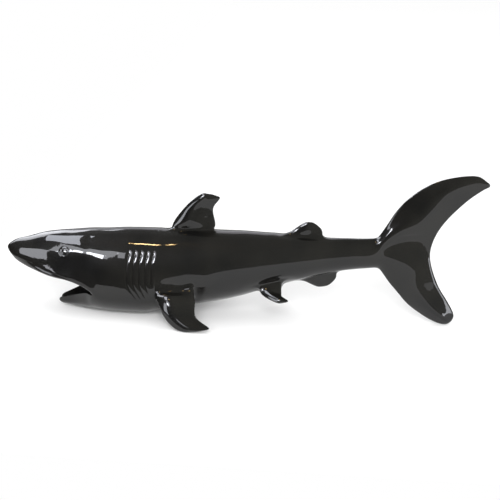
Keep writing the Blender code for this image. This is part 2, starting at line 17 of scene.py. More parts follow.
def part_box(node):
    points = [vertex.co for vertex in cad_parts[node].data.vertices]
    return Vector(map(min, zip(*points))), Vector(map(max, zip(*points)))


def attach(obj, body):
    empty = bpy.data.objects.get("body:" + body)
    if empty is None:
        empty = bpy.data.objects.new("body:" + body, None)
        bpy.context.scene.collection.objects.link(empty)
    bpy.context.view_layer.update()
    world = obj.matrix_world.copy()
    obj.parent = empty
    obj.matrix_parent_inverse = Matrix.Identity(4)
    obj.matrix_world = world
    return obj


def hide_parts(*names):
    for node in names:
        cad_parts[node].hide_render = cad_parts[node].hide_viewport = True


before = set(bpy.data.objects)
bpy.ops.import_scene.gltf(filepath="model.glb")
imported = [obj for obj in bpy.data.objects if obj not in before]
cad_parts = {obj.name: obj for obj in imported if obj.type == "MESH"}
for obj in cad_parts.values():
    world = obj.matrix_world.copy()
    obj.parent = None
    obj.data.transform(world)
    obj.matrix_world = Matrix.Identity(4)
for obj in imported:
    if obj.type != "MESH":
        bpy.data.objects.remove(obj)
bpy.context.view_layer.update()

# Overall sizes
LENGTH = 0.4755
BODY_DEPTH = 0.0852
BODY_WIDTH = 0.0722

# Fins
FIRST_DORSAL_RISE = 0.0388
SECOND_DORSAL_RISE = 0.0135
FIRST_DORSAL_THICKNESS = 0.0086
SECOND_DORSAL_THICKNESS = 0.0066
PECTORAL_REACH = 0.0265
PECTORAL_THICKNESS = 0.0092
PELVIC_REACH = 0.0118
PELVIC_THICKNESS = 0.0068
ANAL_DROP = 0.0128
ANAL_THICKNESS = 0.0060
TAIL_UP = 0.0808
TAIL_DOWN = 0.0708
TAIL_THICKNESS = 0.0120

# Thickest place along the chord of a fin and of the tail's root, how round the
# fins and the tail's lobes are there, and the share of thickness that edges keep
FIN_CREST = 0.24
TAIL_CREST = 0.46
FIN_ROUND = 1.5
TAIL_ROUND = 1.1
FIN_EDGE = 0.18
TAIL_EDGE = 0.12

# Head and gills; the gills' middle is a share of LENGTH
GILL_COUNT = 5
GILL_PITCH = 0.0061
GILL_MIDDLE = 0.2938
LIP_HEIGHT = 0.0045
PALATE_DROP = 0.0006
PALATE_CURVE = 0.0004
SNOUT_DROP = 0.0008
THROAT_BACK = 0.0040
THROAT_DROP = 0.0030
LOWER_JAW_LENGTH = 0.0425

# How far the belly is ground off, so that it lies flat
BELLY_FLAT = 0.0010

# Ring places around the body, counted from the back (0) to the belly (11)
AROUND = 22
LIP = 7

# Where the points along a fin's chord begin and the length that they cover, as shares
# of the chord, and the same for the curve of the tip's ridge
CHORD_FROM, CHORD_SPAN = 0.05, 0.88
RIDGE_FROM, RIDGE_SPAN = 0.12, 0.76

# Rearward lean of the half ring's places at the gills, in gill pitches, the share of
# LENGTH to either side of the gills' middle that leans, and over which it fades
GILL_LEANS = (0, 0, 0.11, 0.18, 0.07, 0, 0, 0.14, 0.60, 0.60, 0.35, 0.28)
GILL_LEAN_REACH = 0.042
GILL_LEAN_FADE = 0.05

# Places of the body's rings before and behind the gills
FRONT_RINGS = (0.1966, 0.2300)
REAR_RINGS = (
    0.3290, 0.3490, 0.3680, 0.3880, 0.4080, 0.4270, 0.4440, 0.4890, 0.5340,
    0.5530, 0.5710, 0.5890, 0.6180, 0.6440, 0.6700, 0.7010, 0.7370, 0.7720,
)

# Body outline: place from the nose, back, belly and half width, as shares of
# LENGTH, BODY_DEPTH, BODY_DEPTH and BODY_WIDTH, and how far the widest level
# hangs below the middle, as a share of half the depth
BODY = (
    (0.1966, 0.9730, -0.0060, 0.4570, 0.36),
    (0.2230, 0.9850, -0.0155, 0.4790, 0.38),
    (0.2560, 0.9980, -0.0180, 0.4960, 0.40),
    (0.2960, 1.0060, -0.0140, 0.5010, 0.40),
    (0.3240, 1.0090, 0.0145, 0.4960, 0.39),
    (0.3480, 1.0110, 0.0450, 0.4850, 0.36),
    (0.3790, 1.0141, 0.0790, 0.4670, 0.27),
    (0.4210, 1.0164, 0.1240, 0.4400, 0.15),
    (0.4580, 1.0180, 0.1710, 0.4120, 0.05),
    (0.4920, 1.0170, 0.2210, 0.3870, 0.0),
    (0.5220, 1.0135, 0.2740, 0.3620, 0.0),
    (0.5540, 1.0090, 0.3360, 0.3300, 0.0),
    (0.5890, 1.0040, 0.4000, 0.2920, 0.0),
    (0.6220, 0.9950, 0.4570, 0.2530, 0.0),
    (0.6550, 0.9871, 0.5130, 0.2160, 0.0),
    (0.6880, 0.9824, 0.5610, 0.1820, 0.0),
    (0.7190, 0.9836, 0.6000, 0.1530, 0.0),
    (0.7500, 0.9900, 0.6290, 0.1290, 0.0),
    (0.7720, 0.9990, 0.6430, 0.1120, 0.0),
)

# On the head the sides keep spreading down to the lip: their widest level lies
# under it by this share of the way up to the middle level
HEAD_SWELL = 0.18

# Power of the curve from the widest level to the back: 2 is an ellipse, and less
# is leaner
SIDE_POWER = 1.88

# Upper head outline: place, top, widest level, lip level, middle of the
# underside and half width, in the same shares
HEAD = (
    (0.0189, 0.7960, 0.7000, 0.5760, 0.5520, 0.1400),
    (0.0350, 0.8230, 0.6910, 0.5350, 0.5080, 0.1880),
    (0.0530, 0.8520, 0.6860, 0.4990, 0.4800, 0.2260),
    (0.0720, 0.8830, 0.6840, 0.4760, 0.5000, 0.2600),
    (0.0920, 0.9080, 0.6800, 0.4530, 0.5160, 0.2940),
    (0.1130, 0.9290, 0.6670, 0.4370, 0.5100, 0.3300),
    (0.1329, 0.9430, 0.6420, 0.4250, 0.4930, 0.3660),
    (0.1510, 0.9540, 0.6040, 0.4030, 0.4650, 0.3980),
    (0.1680, 0.9620, 0.5640, 0.3750, 0.4220, 0.4250),
    (0.1815, 0.9670, 0.5240, 0.3370, 0.3730, 0.4440),
)

# Share of the half width that the lip keeps, how much more the lip and the place
# above it draw in at the tip of the snout, and the place where that ends
LIP_WIDTH = 0.945
NOSE_TUCK = 0.35
NOSE_TUCK_ABOVE = 0.1
NOSE_TUCK_END = 0.08

# Where the place above the lip comes to stand LIP_HEIGHT over it, where that ends, and
# where the drop under the snout ends: place and fade
LIP_START, LIP_START_FADE = 0.050, 0.015
LIP_END, LIP_END_FADE = 0.150, 0.02
PALATE_START, PALATE_START_FADE = 0.045, 0.015

# Points across the palate and the throat, as shares of the half width
PALATE_SHARES = (-0.84, -0.46, 0.0, 0.46, 0.84)

# Ring place at the upper corners of the grid that closes the nose
NOSE_CORNER = 3

# Lower jaw: reach forward as a share of LOWER_JAW_LENGTH, then half width, rim,
# underside and floor; points of its outside, across and up from the underside to the
# rim; the same of its scoop, from the floor; and how much fuller the outside grows
# toward the front
JAW_SECTIONS = (
    (0.18, 0.368, 0.2500, -0.0010, 0.085),
    (0.36, 0.285, 0.2180, 0.0030, 0.080),
    (0.55, 0.204, 0.1830, 0.0080, 0.078),
    (0.75, 0.134, 0.1460, 0.0200, 0.078),
    (0.93, 0.076, 0.1080, 0.0380, 0.076),
)
JAW_OUTSIDE = ((1.0, 1.0), (0.86, 0.52), (0.56, 0.17), (0.20, 0.015), (0.0, 0.0))
JAW_SCOOP = ((0.84, 0.92), (0.50, 0.12), (0.0, 0.0), (-0.50, 0.12), (-0.84, 0.92))
JAW_FULLER = 0.12

# Levels of the middle fins: front place and level, rear place and level, as shares
# of the chord and of the rise, and the share of thickness; then the tip's lift
FIRST_DORSAL_LEVELS = (
    (0.06, 0.15, 1.00, 0.13, 1.0),
    (0.23, 0.44, 0.95, 0.42, 0.86),
    (0.43, 0.71, 0.97, 0.65, 0.74),
    (0.66, 0.93, 1.09, 0.84, 0.58),
)
FIRST_DORSAL_LIFT = (0.04, 0, 0.06)
SECOND_DORSAL_LEVELS = (
    (0.19, 0.30, 0.95, 0.26, 1.0),
    (0.36, 0.68, 0.87, 0.62, 0.84),
    (0.50, 0.92, 0.74, 0.90, 0.62),
)
SECOND_DORSAL_LIFT = (0, 0, 0.07)
ANAL_LEVELS = (
    (0.22, -0.14, 0.96, 0.38, 1.0),
    (0.44, -0.42, 0.82, -0.18, 0.70),
)
ANAL_LIFT = (0.04, 0, -0.14)

# Angles of the half ring, in degrees from the back, at some places
ANGLES = (
    (0.00, (0, 9, 27, 46, 66, 85, 102, 115, 128, 148, 170, 180)),
    (0.13, (0, 9, 28, 51, 72, 91, 104, 115, 128, 148, 170, 180)),
    (0.22, (0, 9, 27, 46, 66, 85, 102, 115, 128, 148, 170, 180)),
    (0.31, (0, 9, 27, 46, 66, 85, 103, 116, 128, 148, 170, 180)),
    (0.34, (0, 9, 27, 46, 66, 86, 108, 119, 130, 148, 169, 180)),
    (0.39, (0, 9, 27, 46, 66, 86, 108, 119, 130, 148, 168, 180)),
    (0.44, (0, 9, 27, 46, 65, 84, 102, 115, 128, 147, 168, 180)),
    (0.54, (0, 10, 28, 47, 66, 85, 104, 119, 131, 143, 157, 180)),
    (0.60, (0, 12, 30, 48, 66, 85, 104, 120, 134, 147, 163, 180)),
    (0.66, (0, 13, 31, 49, 67, 86, 103, 119, 135, 151, 167, 180)),
    (0.78, (0, 13, 31, 49, 68, 88, 104, 120, 136, 152, 167, 180)),
)

# Levels of the side fins: leading edge, then trailing edge, as shares of the
# chord back, of the reach out and (last) of the base height or the reach; then
# the slope in degrees and the share of thickness
PECTORAL_LEVELS = (
    (0.04, 0.15, 1.06, 1.06, 0.16, 1.13, 36, 1.10),
    (0.17, 0.40, 0.75, 1.08, 0.42, 0.79, 50, 0.98),
    (0.38, 0.62, 0.30, 1.18, 0.65, 0.45, 52, 0.82),
    (0.70, 0.84, 0.032, 1.50, 0.86, 0.22, 44, 0.66),
)
PELVIC_LEVELS = (
    (0.18, 0.46, -0.13, 0.97, 0.46, -0.01, 22, 1.00),
    (0.46, 0.92, -0.41, 1.01, 0.92, -0.22, 22, 0.78),
    (0.80, 1.34, -0.58, 1.24, 1.36, -0.38, 22, 0.52),
)
PECTORAL_LIFT = (0.13, 0.10, -0.05)
PELVIC_LIFT = (0.05, 0.07, -0.07)

# Ring place that the pelvic fins grow from
PELVIC_PLACE = 9

# Tail rings behind the body: upper, middle and lower place and level, the
# levels as shares of TAIL_UP above and TAIL_DOWN below the fork, and how far the
# ring has changed from the round body to the flat tail
TAIL_RINGS = (
    ((0.7850, 0.2330), (0.8000, 0.1000), (0.7880, -0.2560), 0.34),
    ((0.8000, 0.3760), (0.8350, 0.1700), (0.8050, -0.4130), 0.70),
    ((0.8175, 0.5480), (0.8760, 0.1400), (0.8270, -0.5860), 1.08),
)
# Lobes: leading edge, trailing edge, thickness and crest along the chord
UPPER_LOBE = (
    ((0.8440, 0.7180), (0.8955, 0.2240), 0.86, 0.46),
    ((0.8800, 0.8710), (0.9120, 0.3930), 0.76, 0.38),
    ((0.9190, 0.9590), (0.9330, 0.5480), 0.64, 0.24),
    ((0.9540, 0.9960), (0.9565, 0.6890), 0.52, 0.16),
    ((0.9770, 0.9930), (0.9745, 0.7790), 0.39, 0.14),
    ((0.9905, 0.9450), (0.9890, 0.8420), 0.27, 0.16),
)
LOWER_LOBE = (
    ((0.8445, -0.7180), (0.8945, -0.2200), 1.18, 0.36),
    ((0.8685, -0.8440), (0.9085, -0.4550), 1.16, 0.35),
    ((0.8915, -0.9370), (0.9245, -0.6250), 1.02, 0.38),
    ((0.9125, -0.9960), (0.9410, -0.8150), 0.76, 0.42),
)
TAIL_FORK = 0.8880
UPPER_LIFT = (0.057, 0, -0.005)
LOWER_LIFT = (0.070, 0, -0.070)

# Ring place at which the lobes part, and the places whose angles and whose width
# the tail's first rings take over
FORK_PLACE = 5
TAIL_ANGLES_FROM = 0.78
TAIL_WIDTH_FROM = 0.77

# Ring places of the tail, from the upper or the lower edge to the middle
TAIL_SHARES = (0.06, 0.22, 0.42, 0.66, 0.93)
LOW_TAIL_SHARES = (0.06, 0.20, 0.36, 0.54, 0.73, 0.93)


class Cage:
    """Corner points and faces that the smooth surface is drawn from."""

    def __init__(self):
        self.points = []
        self.faces = []

    def point(self, x, y, z):
        self.points.append(Vector((x, y, z)))
        return len(self.points) - 1

    def face(self, *corners):
        self.faces.append(corners)

    def band(self, first, second, closed=True):
        """Faces between two lines of points that have the same count."""
        count = len(first)
        for i in range(count if closed else count - 1):
            j = (i + 1) % count
            self.face(first[i], first[j], second[j], second[i])


def clamp(value):
    return min(max(value, 0.0), 1.0)


def along(rows, place, column):
    """One column of a table at a place, on a smooth curve through the rows."""
    last = len(rows) - 1
    i = 0
    while i < last - 1 and rows[i + 1][0] < place:
        i += 1
    x0, x1 = rows[i][0], rows[i + 1][0]
    y0, y1 = rows[i][column], rows[i + 1][column]
    before, after = max(i - 1, 0), min(i + 2, last)
    slope0 = (y1 - rows[before][column]) / (x1 - rows[before][0])
    slope1 = (rows[after][column] - y0) / (rows[after][0] - x0)
    t = clamp((place - x0) / (x1 - x0))
    step = x1 - x0
    return ((2 * t ** 3 - 3 * t ** 2 + 1) * y0 + (t ** 3 - 2 * t ** 2 + t) * step * slope0
            + (3 * t ** 2 - 2 * t ** 3) * y1 + (t ** 3 - t ** 2) * step * slope1)


def ring_angle(place, k):
    """Angle of ring place k, negative on the starboard side."""
    half = k if k <= AROUND // 2 else AROUND - k
    i = 0
    while i < len(ANGLES) - 2 and ANGLES[i + 1][0] < place:
        i += 1
    t = clamp((place - ANGLES[i][0]) / (ANGLES[i + 1][0] - ANGLES[i][0]))
    angle = ANGLES[i][1][half] * (1 - t) + ANGLES[i + 1][1][half] * t
    return math.radians(angle if k <= AROUND // 2 else -angle)


def side_curve(away):
    """Half width at a share of the way from the widest level to the edge."""
    return max(1 - abs(away) ** SIDE_POWER, 0.0) ** (1 / SIDE_POWER)


def gill_places():
    """Places of the groove and rib rings, as shares of LENGTH."""
    pitch = GILL_PITCH / LENGTH
    start = GILL_MIDDLE - pitch * (GILL_COUNT - 1) / 2
    rings = []
    for i in range(GILL_COUNT):
        rings += [start + pitch * (i - 0.5), start + pitch * i]
    rings.append(start + pitch * (GILL_COUNT - 0.5))
    return rings


def gill_lean(place, k):
    """Rearward shift of a ring place in the gill region."""
    lean = GILL_LEANS[min(k, AROUND - k)] * GILL_PITCH
    early = clamp(0.5 - (place - GILL_MIDDLE) / GILL_LEAN_FADE)
    near = clamp(1 - abs(place - GILL_MIDDLE) / GILL_LEAN_REACH) ** 0.5
    return lean * early * near


def body_point(place, k):
    """Ring point of the body, whose sides hang fuller below the middle level."""
    back = along(BODY, place, 1) * BODY_DEPTH
    belly = along(BODY, place, 2) * BODY_DEPTH
    half_width = along(BODY, place, 3) * BODY_WIDTH
    angle = ring_angle(place, k)
    middle = (back + belly) / 2
    half_depth = (back - belly) / 2
    fullest = middle - along(BODY, place, 4) * half_depth
    lean = gill_lean(place, k)
    z = middle + half_depth * math.cos(angle)
    away = (z - fullest) / (back - fullest if z > fullest else fullest - belly)
    y = math.copysign(half_width * side_curve(away), -angle)
    return place * LENGTH + lean, y, z


def lip_tuck(place):
    """Share of the half width that the lower edge of the head keeps under the snout."""
    return LIP_WIDTH - NOSE_TUCK * max(1 - place / NOSE_TUCK_END, 0.0)


def head_arc_point(row, k):
    """Point of the upper head from the top (0) to the lip, either side."""
    place, top, wide, lip, _, half = row
    side = -1 if k >= 0 else 1
    angle = abs(ring_angle(place, abs(k)))
    reach = half * BODY_WIDTH
    if angle <= math.pi / 2:
        z = wide + (top - wide) * math.cos(angle)
    else:
        lip_angle = ring_angle(place, LIP)
        z = wide - (wide - lip) * math.cos(angle) / math.cos(lip_angle)
    fullest = lip - (wide - lip) * HEAD_SWELL
    y = reach * side_curve((z - fullest) / (top - fullest))
    z *= BODY_DEPTH
    mouth = clamp((place - LIP_START) / LIP_START_FADE) * clamp((LIP_END - place) / LIP_END_FADE)
    if abs(k) == LIP:
        y *= lip_tuck(place)
    if abs(k) == LIP - 1:
        y *= 1 - NOSE_TUCK_ABOVE * max(1 - place / NOSE_TUCK_END, 0.0)
        z += (lip * BODY_DEPTH + LIP_HEIGHT - z) * mouth
    return place * LENGTH, side * y, z


def palate_points(cage, row):
    """Five points of the underside of the head, from port to starboard."""
    place, _, _, lip, under, half = row
    edge = half * BODY_WIDTH * math.sin(ring_angle(place, LIP)) * lip_tuck(place)
    mouth = clamp((place - PALATE_START) / PALATE_START_FADE)
    rim = lip * BODY_DEPTH - PALATE_DROP - SNOUT_DROP * (1 - mouth)
    deep = under * BODY_DEPTH
    levels = (rim, deep + PALATE_CURVE, deep, deep + PALATE_CURVE, rim)
    return [cage.point(place * LENGTH, edge * s, z) for s, z in zip(PALATE_SHARES, levels)]


def blunt_nose(cage, ring, upper, lower):
    """Close the front ring of the head with a rounded grid of faces."""
    place, top, wide, _, under, half = HEAD[0]
    reach, level = half * BODY_WIDTH, wide * BODY_DEPTH
    rise, drop = (top - wide) * BODY_DEPTH, (wide - under) * BODY_DEPTH
    top_row = [ring[k % AROUND] for k in range(NOSE_CORNER, -NOSE_CORNER - 1, -1)]
    bottom_row = [upper[0]] + lower + [upper[1]]
    port = [ring[k] for k in range(NOSE_CORNER, LIP + 1)]
    starboard = [ring[-k % AROUND] for k in range(NOSE_CORNER, LIP + 1)]
    columns, steps = 2 * NOSE_CORNER, LIP - NOSE_CORNER
    rows = [top_row]
    for r in range(1, steps):
        row = [port[r]]
        for c in range(1, columns):
            across = cage.points[port[r]].lerp(cage.points[starboard[r]], c / columns)
            down = cage.points[top_row[c]].lerp(cage.points[bottom_row[c]], r / steps)
            p = (across + down) / 2
            height = (p.z - level) / (rise if p.z > level else drop)
            away = (p.y / reach) ** 2 + height ** 2
            row.append(cage.point(place * LENGTH * min(away, 1.0), p.y, p.z))
        row.append(starboard[r])
        rows.append(row)
    rows.append(bottom_row)
    for first, second in zip(rows, rows[1:]):
        cage.band(first, second, closed=False)


def upper_head(cage, corner_ring, throat):
    """Snout, upper jaw and palate, ahead of the corner of the mouth."""
    arcs = list(range(-LIP, LIP + 1))
    rings = []
    for row in HEAD:
        ring = {}
        for k in arcs:
            ring[k % AROUND] = cage.point(*head_arc_point(row, k))
        rings.append((ring, palate_points(cage, row)))
    rings.append(({k % AROUND: corner_ring[k % AROUND] for k in arcs}, throat))
    for i in range(len(rings) - 1):
        (ring, under), (ring2, under2) = rings[i], rings[i + 1]
        for k in arcs[:-1]:
            a, b = k % AROUND, (k + 1) % AROUND
            cage.face(ring[a], ring[b], ring2[b], ring2[a])
        first = [ring[LIP]] + under + [ring[-LIP % AROUND]]
        second = [ring2[LIP]] + under2 + [ring2[-LIP % AROUND]]
        cage.band(first, second, closed=False)
    front, under = rings[0]
    blunt_nose(cage, front, (front[LIP], front[-LIP % AROUND]), under)


def lower_jaw(cage, corner_ring, throat):
    """Scooped lower jaw, ahead of the corner of the mouth."""
    corner = cage.points[corner_ring[LIP]].x
    before = [corner_ring[k] for k in range(LIP, AROUND - LIP + 1)] + throat[::-1]
    for forward, half, rim, under, floor in JAW_SECTIONS:
        x = corner - forward * LOWER_JAW_LENGTH
        w = half * BODY_WIDTH
        rim, under, floor = rim * BODY_DEPTH, under * BODY_DEPTH, floor * BODY_DEPTH
        full = forward * JAW_FULLER
        outer = [(s + full if 0.0 < s < 1.0 else s, level) for s, level in JAW_OUTSIDE]
        loop = [cage.point(x, -w * s, under + (rim - under) * level) for s, level in outer]
        loop += [cage.point(x, w * s, under + (rim - under) * level)
                 for s, level in outer[-2::-1]]
        loop += [cage.point(x, w * s, floor + (rim - floor) * level) for s, level in JAW_SCOOP]
        cage.band(before, loop)
        before = loop
    far_rim = 2 * len(JAW_OUTSIDE) - 2
    upper = [before[0]] + before[:far_rim:-1] + [before[far_rim]]
    cage.band(upper, before[1:far_rim], closed=False)


def chord_shape(share, crest, power=FIN_ROUND, edge=FIN_EDGE):
    """Thickness of a fin along its chord, as a share of the greatest, at the crest."""
    near = share / crest if share < crest else (1 - share) / (1 - crest)
    return edge + (1 - edge) * (1 - (1 - near) ** power)


def fin(cage, root, levels, tip_lift, power=FIN_ROUND, edge=FIN_EDGE):
    """Grow a fin out of a loop of points: front, one side, rear, other side.

    The tip's ridge is lifted by a vector, most of all in the middle.
    """
    n = (len(root) - 2) // 2
    shares = [CHORD_FROM + CHORD_SPAN * j / (n - 1) for j in range(n)]
    before = root
    for front, rear, half, crest in levels:
        front, rear = Vector(front), Vector(rear)
        sides = []
        for way in (1, -1):
            line = []
            for share in shares:
                thick = way * chord_shape(share, crest, power, edge)
                line.append(cage.point(*(front.lerp(rear, share) + half * thick)))
            sides.append(line)
        loop = [cage.point(*front)] + sides[0] + [cage.point(*rear)] + sides[1][::-1]
        cage.band(before, loop)
        before = loop
    ridge = [before[0]]
    for share in shares[1:-1]:
        lift = Vector(tip_lift) * math.sin(math.pi * (RIDGE_FROM + RIDGE_SPAN * share))
        ridge.append(cage.point(*(front.lerp(rear, share) + lift)))
    ridge.append(before[n + 1])
    for j in range(n - 1):
        cage.face(before[1 + j], before[2 + j], ridge[j + 1], ridge[j])
        cage.face(before[-1 - j], ridge[j], ridge[j + 1], before[-2 - j])


def strip_loop(rings, first, last, k):
    """Open loop around the faces on both sides of line k."""
    left = [rings[i][(k + 1) % AROUND] for i in range(first, last + 1)]
    right = [rings[i][(k - 1) % AROUND] for i in range(first, last + 1)]
    return [rings[first][k % AROUND]] + left + [rings[last][k % AROUND]] + right[::-1]


def middle_fin(cage, rings, span, k, rows, rise, thickness, tip_lift):
    """Fin on the back, where k is 0, or on the belly, from rows of its levels."""
    first, last = span
    base = cage.points[rings[first][k]]
    chord = cage.points[rings[last][k]].x - base.x
    half = Vector((0, (-thickness if k == 0 else thickness) / 2, 0))
    levels = []
    for x0, z0, x1, z1, thick in rows:
        levels.append(((base.x + x0 * chord, 0, base.z + z0 * rise),
                       (base.x + x1 * chord, 0, base.z + z1 * rise), thick * half, FIN_CREST))
    fin(cage, strip_loop(rings, first, last, k), levels, [share * rise for share in tip_lift])


def turned_down(side, slope, half):
    """Half a fin's thickness as a vector, for a fin that slopes down by some degrees."""
    turn = math.radians(slope)
    return Vector((0, side * math.sin(turn), math.cos(turn))) * (side * half)


def side_fin(cage, rings, span, k, side, rows, reach, thickness, tip_lift, to_ground):
    """Fin on one side; its levels count from the ground up, or else from its base."""
    first, last = span
    base = cage.points[rings[first][k]]
    chord = cage.points[rings[last][k]].x - base.x
    levels = []
    for x0, y0, z0, x1, y1, z1, slope, thick in rows:
        ends = []
        for x, y, z in ((x0, y0, z0), (x1, y1, z1)):
            level = z * base.z if to_ground else base.z + z * reach
            ends.append((base.x + x * chord, side * (abs(base.y) + y * reach), level))
        levels.append((*ends, turned_down(side, slope, thick * thickness / 2), FIN_CREST))
    back, out, up = tip_lift
    fin(cage, strip_loop(rings, first, last, k), levels,
        (back * reach, side * out * reach, up * reach))


def tail_point(upper, middle, lower, k, change, fork_level):
    """Point of a ring that opens from the round body into the tail."""
    half = min(k, AROUND - k)
    side = -1 if k <= AROUND // 2 else 1
    angle = abs(ring_angle(TAIL_ANGLES_FROM, half))
    if half <= FORK_PLACE:
        end, share = upper, ((0.0,) + TAIL_SHARES)[half]
    else:
        end, share = lower, ((0.0,) + LOW_TAIL_SHARES)[AROUND // 2 - half]
    round_share = 1 - abs(math.cos(angle))
    share = round_share + (share - round_share) * change
    x = end[0] + (middle[0] - end[0]) * share
    z = end[1] + (middle[1] - end[1]) * share
    thin = 0.0
    if share > 0.0:
        thin = TAIL_THICKNESS / 2 * chord_shape(share, TAIL_CREST, TAIL_ROUND, TAIL_EDGE)
    thick = along(BODY, TAIL_WIDTH_FROM, 3) * BODY_WIDTH * side_curve(math.cos(angle))
    y = thick + (thin - thick) * change
    z *= TAIL_UP if z > 0 else TAIL_DOWN
    return x * LENGTH, side * y, fork_level + z


def tail(cage, last_ring):
    """Upper and lower lobe, parted at the fork."""
    fork_level = TAIL_DOWN
    before = last_ring
    for upper, middle, lower, change in TAIL_RINGS:
        ring = []
        for k in range(AROUND):
            ring.append(cage.point(*tail_point(upper, middle, lower, k, change, fork_level)))
        cage.band(before, ring)
        before = ring
    fork = cage.point(TAIL_FORK * LENGTH, 0, fork_level)
    belly = AROUND // 2
    near, far = FORK_PLACE, AROUND - FORK_PLACE
    up_root = before[:near + 1] + [fork] + before[far:]
    down_root = before[belly:far + 1] + [fork] + before[near:belly]
    for root, lobe, size, side, lift in ((up_root, UPPER_LOBE, TAIL_UP, -1, UPPER_LIFT),
                                         (down_root, LOWER_LOBE, TAIL_DOWN, 1, LOWER_LIFT)):
        levels = []
        for front, rear, thick, crest in lobe:
            levels.append(((front[0] * LENGTH, 0, fork_level + front[1] * size),
                           (rear[0] * LENGTH, 0, fork_level + rear[1] * size),
                           Vector((0, side * thick * TAIL_THICKNESS / 2, 0)), crest))
        fin(cage, root, levels, Vector(lift) * size, TAIL_ROUND, TAIL_EDGE)


def draw_out(cage, rounds=5, step=0.9):
    """Move the cage outward until the smooth surface passes its own points."""
    edges = [set() for _ in cage.points]
    corners = [set() for _ in cage.points]
    for face in cage.faces:
        for i, point in enumerate(face):
            edges[point].update((face[i - 1], face[(i + 1) % 4]))
            corners[point].add(face[(i + 2) % 4])
    wanted = [p.copy() for p in cage.points]
    for _ in range(rounds):
        moved = []
        for i, point in enumerate(cage.points):
            n = len(edges[i])
            if n == 0:
                moved.append(point)
                continue
            near = sum((cage.points[j] for j in edges[i]), Vector())
            far = sum((cage.points[j] for j in corners[i]), Vector())
            surface = (point * n * n + near * 4 + far) / (n * (n + 5))
            moved.append(point + (wanted[i] - surface) * step)
        cage.points = moved


def build_cage():
    """Body, fins, tail, head and jaw as one closed cage, moved out to its own points."""
    cage = Cage()
    rings = []
    for place in (*FRONT_RINGS, *gill_places(), *REAR_RINGS):
        rings.append([cage.point(*body_point(place, k)) for k in range(AROUND)])
    # Rings that each fin grows between, counted from the first one behind the gills
    start = len(FRONT_RINGS) + 2 * GILL_COUNT + 1
    pectoral_span = (start, start + 4)
    dorsal_span = (start + 1, start + 6)
    pelvic_span = (start + 8, start + 11)
    second_span = (start + 11, start + 14)
    anal_span = (start + 12, start + 15)
    belly = AROUND // 2
    openings = set()
    for span, k in ((dorsal_span, 0), (second_span, 0), (anal_span, belly),
                    (pectoral_span, LIP), (pectoral_span, AROUND - LIP),
                    (pelvic_span, PELVIC_PLACE), (pelvic_span, AROUND - PELVIC_PLACE)):
        for i in range(*span):
            openings.add((i, k % AROUND))
            openings.add((i, (k - 1) % AROUND))
    for i in range(len(rings) - 1):
        for k in range(AROUND):
            if (i, k) not in openings:
                j = (k + 1) % AROUND
                cage.face(rings[i][k], rings[i][j], rings[i + 1][j], rings[i + 1][k])
    for fin_row in (
            (dorsal_span, 0, FIRST_DORSAL_LEVELS, FIRST_DORSAL_RISE,
             FIRST_DORSAL_THICKNESS, FIRST_DORSAL_LIFT),
            (second_span, 0, SECOND_DORSAL_LEVELS, SECOND_DORSAL_RISE,
             SECOND_DORSAL_THICKNESS, SECOND_DORSAL_LIFT),
            (anal_span, belly, ANAL_LEVELS, ANAL_DROP, ANAL_THICKNESS, ANAL_LIFT)):
        middle_fin(cage, rings, *fin_row)
    for side in (-1, 1):
        for span, k, *sizes in (
                (pectoral_span, LIP, PECTORAL_LEVELS, PECTORAL_REACH,
                 PECTORAL_THICKNESS, PECTORAL_LIFT, True),
                (pelvic_span, PELVIC_PLACE, PELVIC_LEVELS, PELVIC_REACH,
                 PELVIC_THICKNESS, PELVIC_LIFT, False)):
            side_fin(cage, rings, span, k if side < 0 else AROUND - k, side, *sizes)
    tail(cage, rings[-1])
    corner = cage.points[rings[0][LIP]]
    throat = []
    for share in PALATE_SHARES:
        throat.append(cage.point(corner.x + THROAT_BACK * (1 - abs(share)),
                                 abs(corner.y) * share, corner.z - THROAT_DROP))
    upper_head(cage, rings[0], throat)
    lower_jaw(cage, rings[0], throat)
    draw_out(cage)
    return cage


# Gill grooves: level of their top with its fade, level of each one's foot with its
# fade, and the depth of the grooves and of the fine line that is cut into each
GILL_TOP, GILL_TOP_FADE = 0.0690, 0.0030
GILL_FEET = (0.0215, 0.0220, 0.0230, 0.0280, 0.0355)
GILL_FOOT_FADE = 0.0045
GILL_CUT = 0.00055
GILL_LINE, GILL_LINE_WIDTH = 0.00012, 0.00045

# How far each groove sweeps back at GILL_SWEEP_DROP below GILL_BEND, and how it leans
# back above its upper bend
GILL_BEND = 0.0420
GILL_SWEEPS = (0.0106, 0.0093, 0.0080, 0.0074, 0.0070)
GILL_SWEEP_DROP, GILL_SWEEP_POWER = 0.020, 1.63
GILL_HIGH_BEND, GILL_HIGH_RISE = 0.056, 0.013
GILL_HIGH_LEAN, GILL_HIGH_POWER = 0.0018, 1.5

# Levels between which the ribs grow from this share to their full height, levels
# between which the grooves' dull floor ends, and the floor's half width
RIB_LEVELS = (0.054, 0.064)
RIB_LOW = 0.30
DULL_LEVELS = (0.056, 0.068)
DULL_WIDTH = 0.00075

# Crease above the upper lip: from the snout to where it runs out, its height over
# the lip at the snout, depth and half width, and where it grows and ends
CREASE_FROM = -0.2120
CREASE_TO = -0.1640
CREASE_RISE = 0.0054
CREASE_DEPTH = 0.00045
CREASE_WIDTH = 0.0007
CREASE_GROWS = (-0.2180, -0.2100)
CREASE_ENDS = (-0.1720, -0.1620)

# Times that the skin is smoothed
SKIN_LEVELS = 3

# Long waves that hand rubbing leaves in the lacquer: length, height and seed place
WAVES = (
    (0.030, 0.00016, (3.1, 7.7, 1.9)),
    (0.011, 0.00010, (11.3, 2.2, 5.8)),
)

# Waves of the crown of the head, which is rubbed more than the rest
HEAD_WAVE = (0.024, 0.00060, (2.7, 8.1, 4.4))

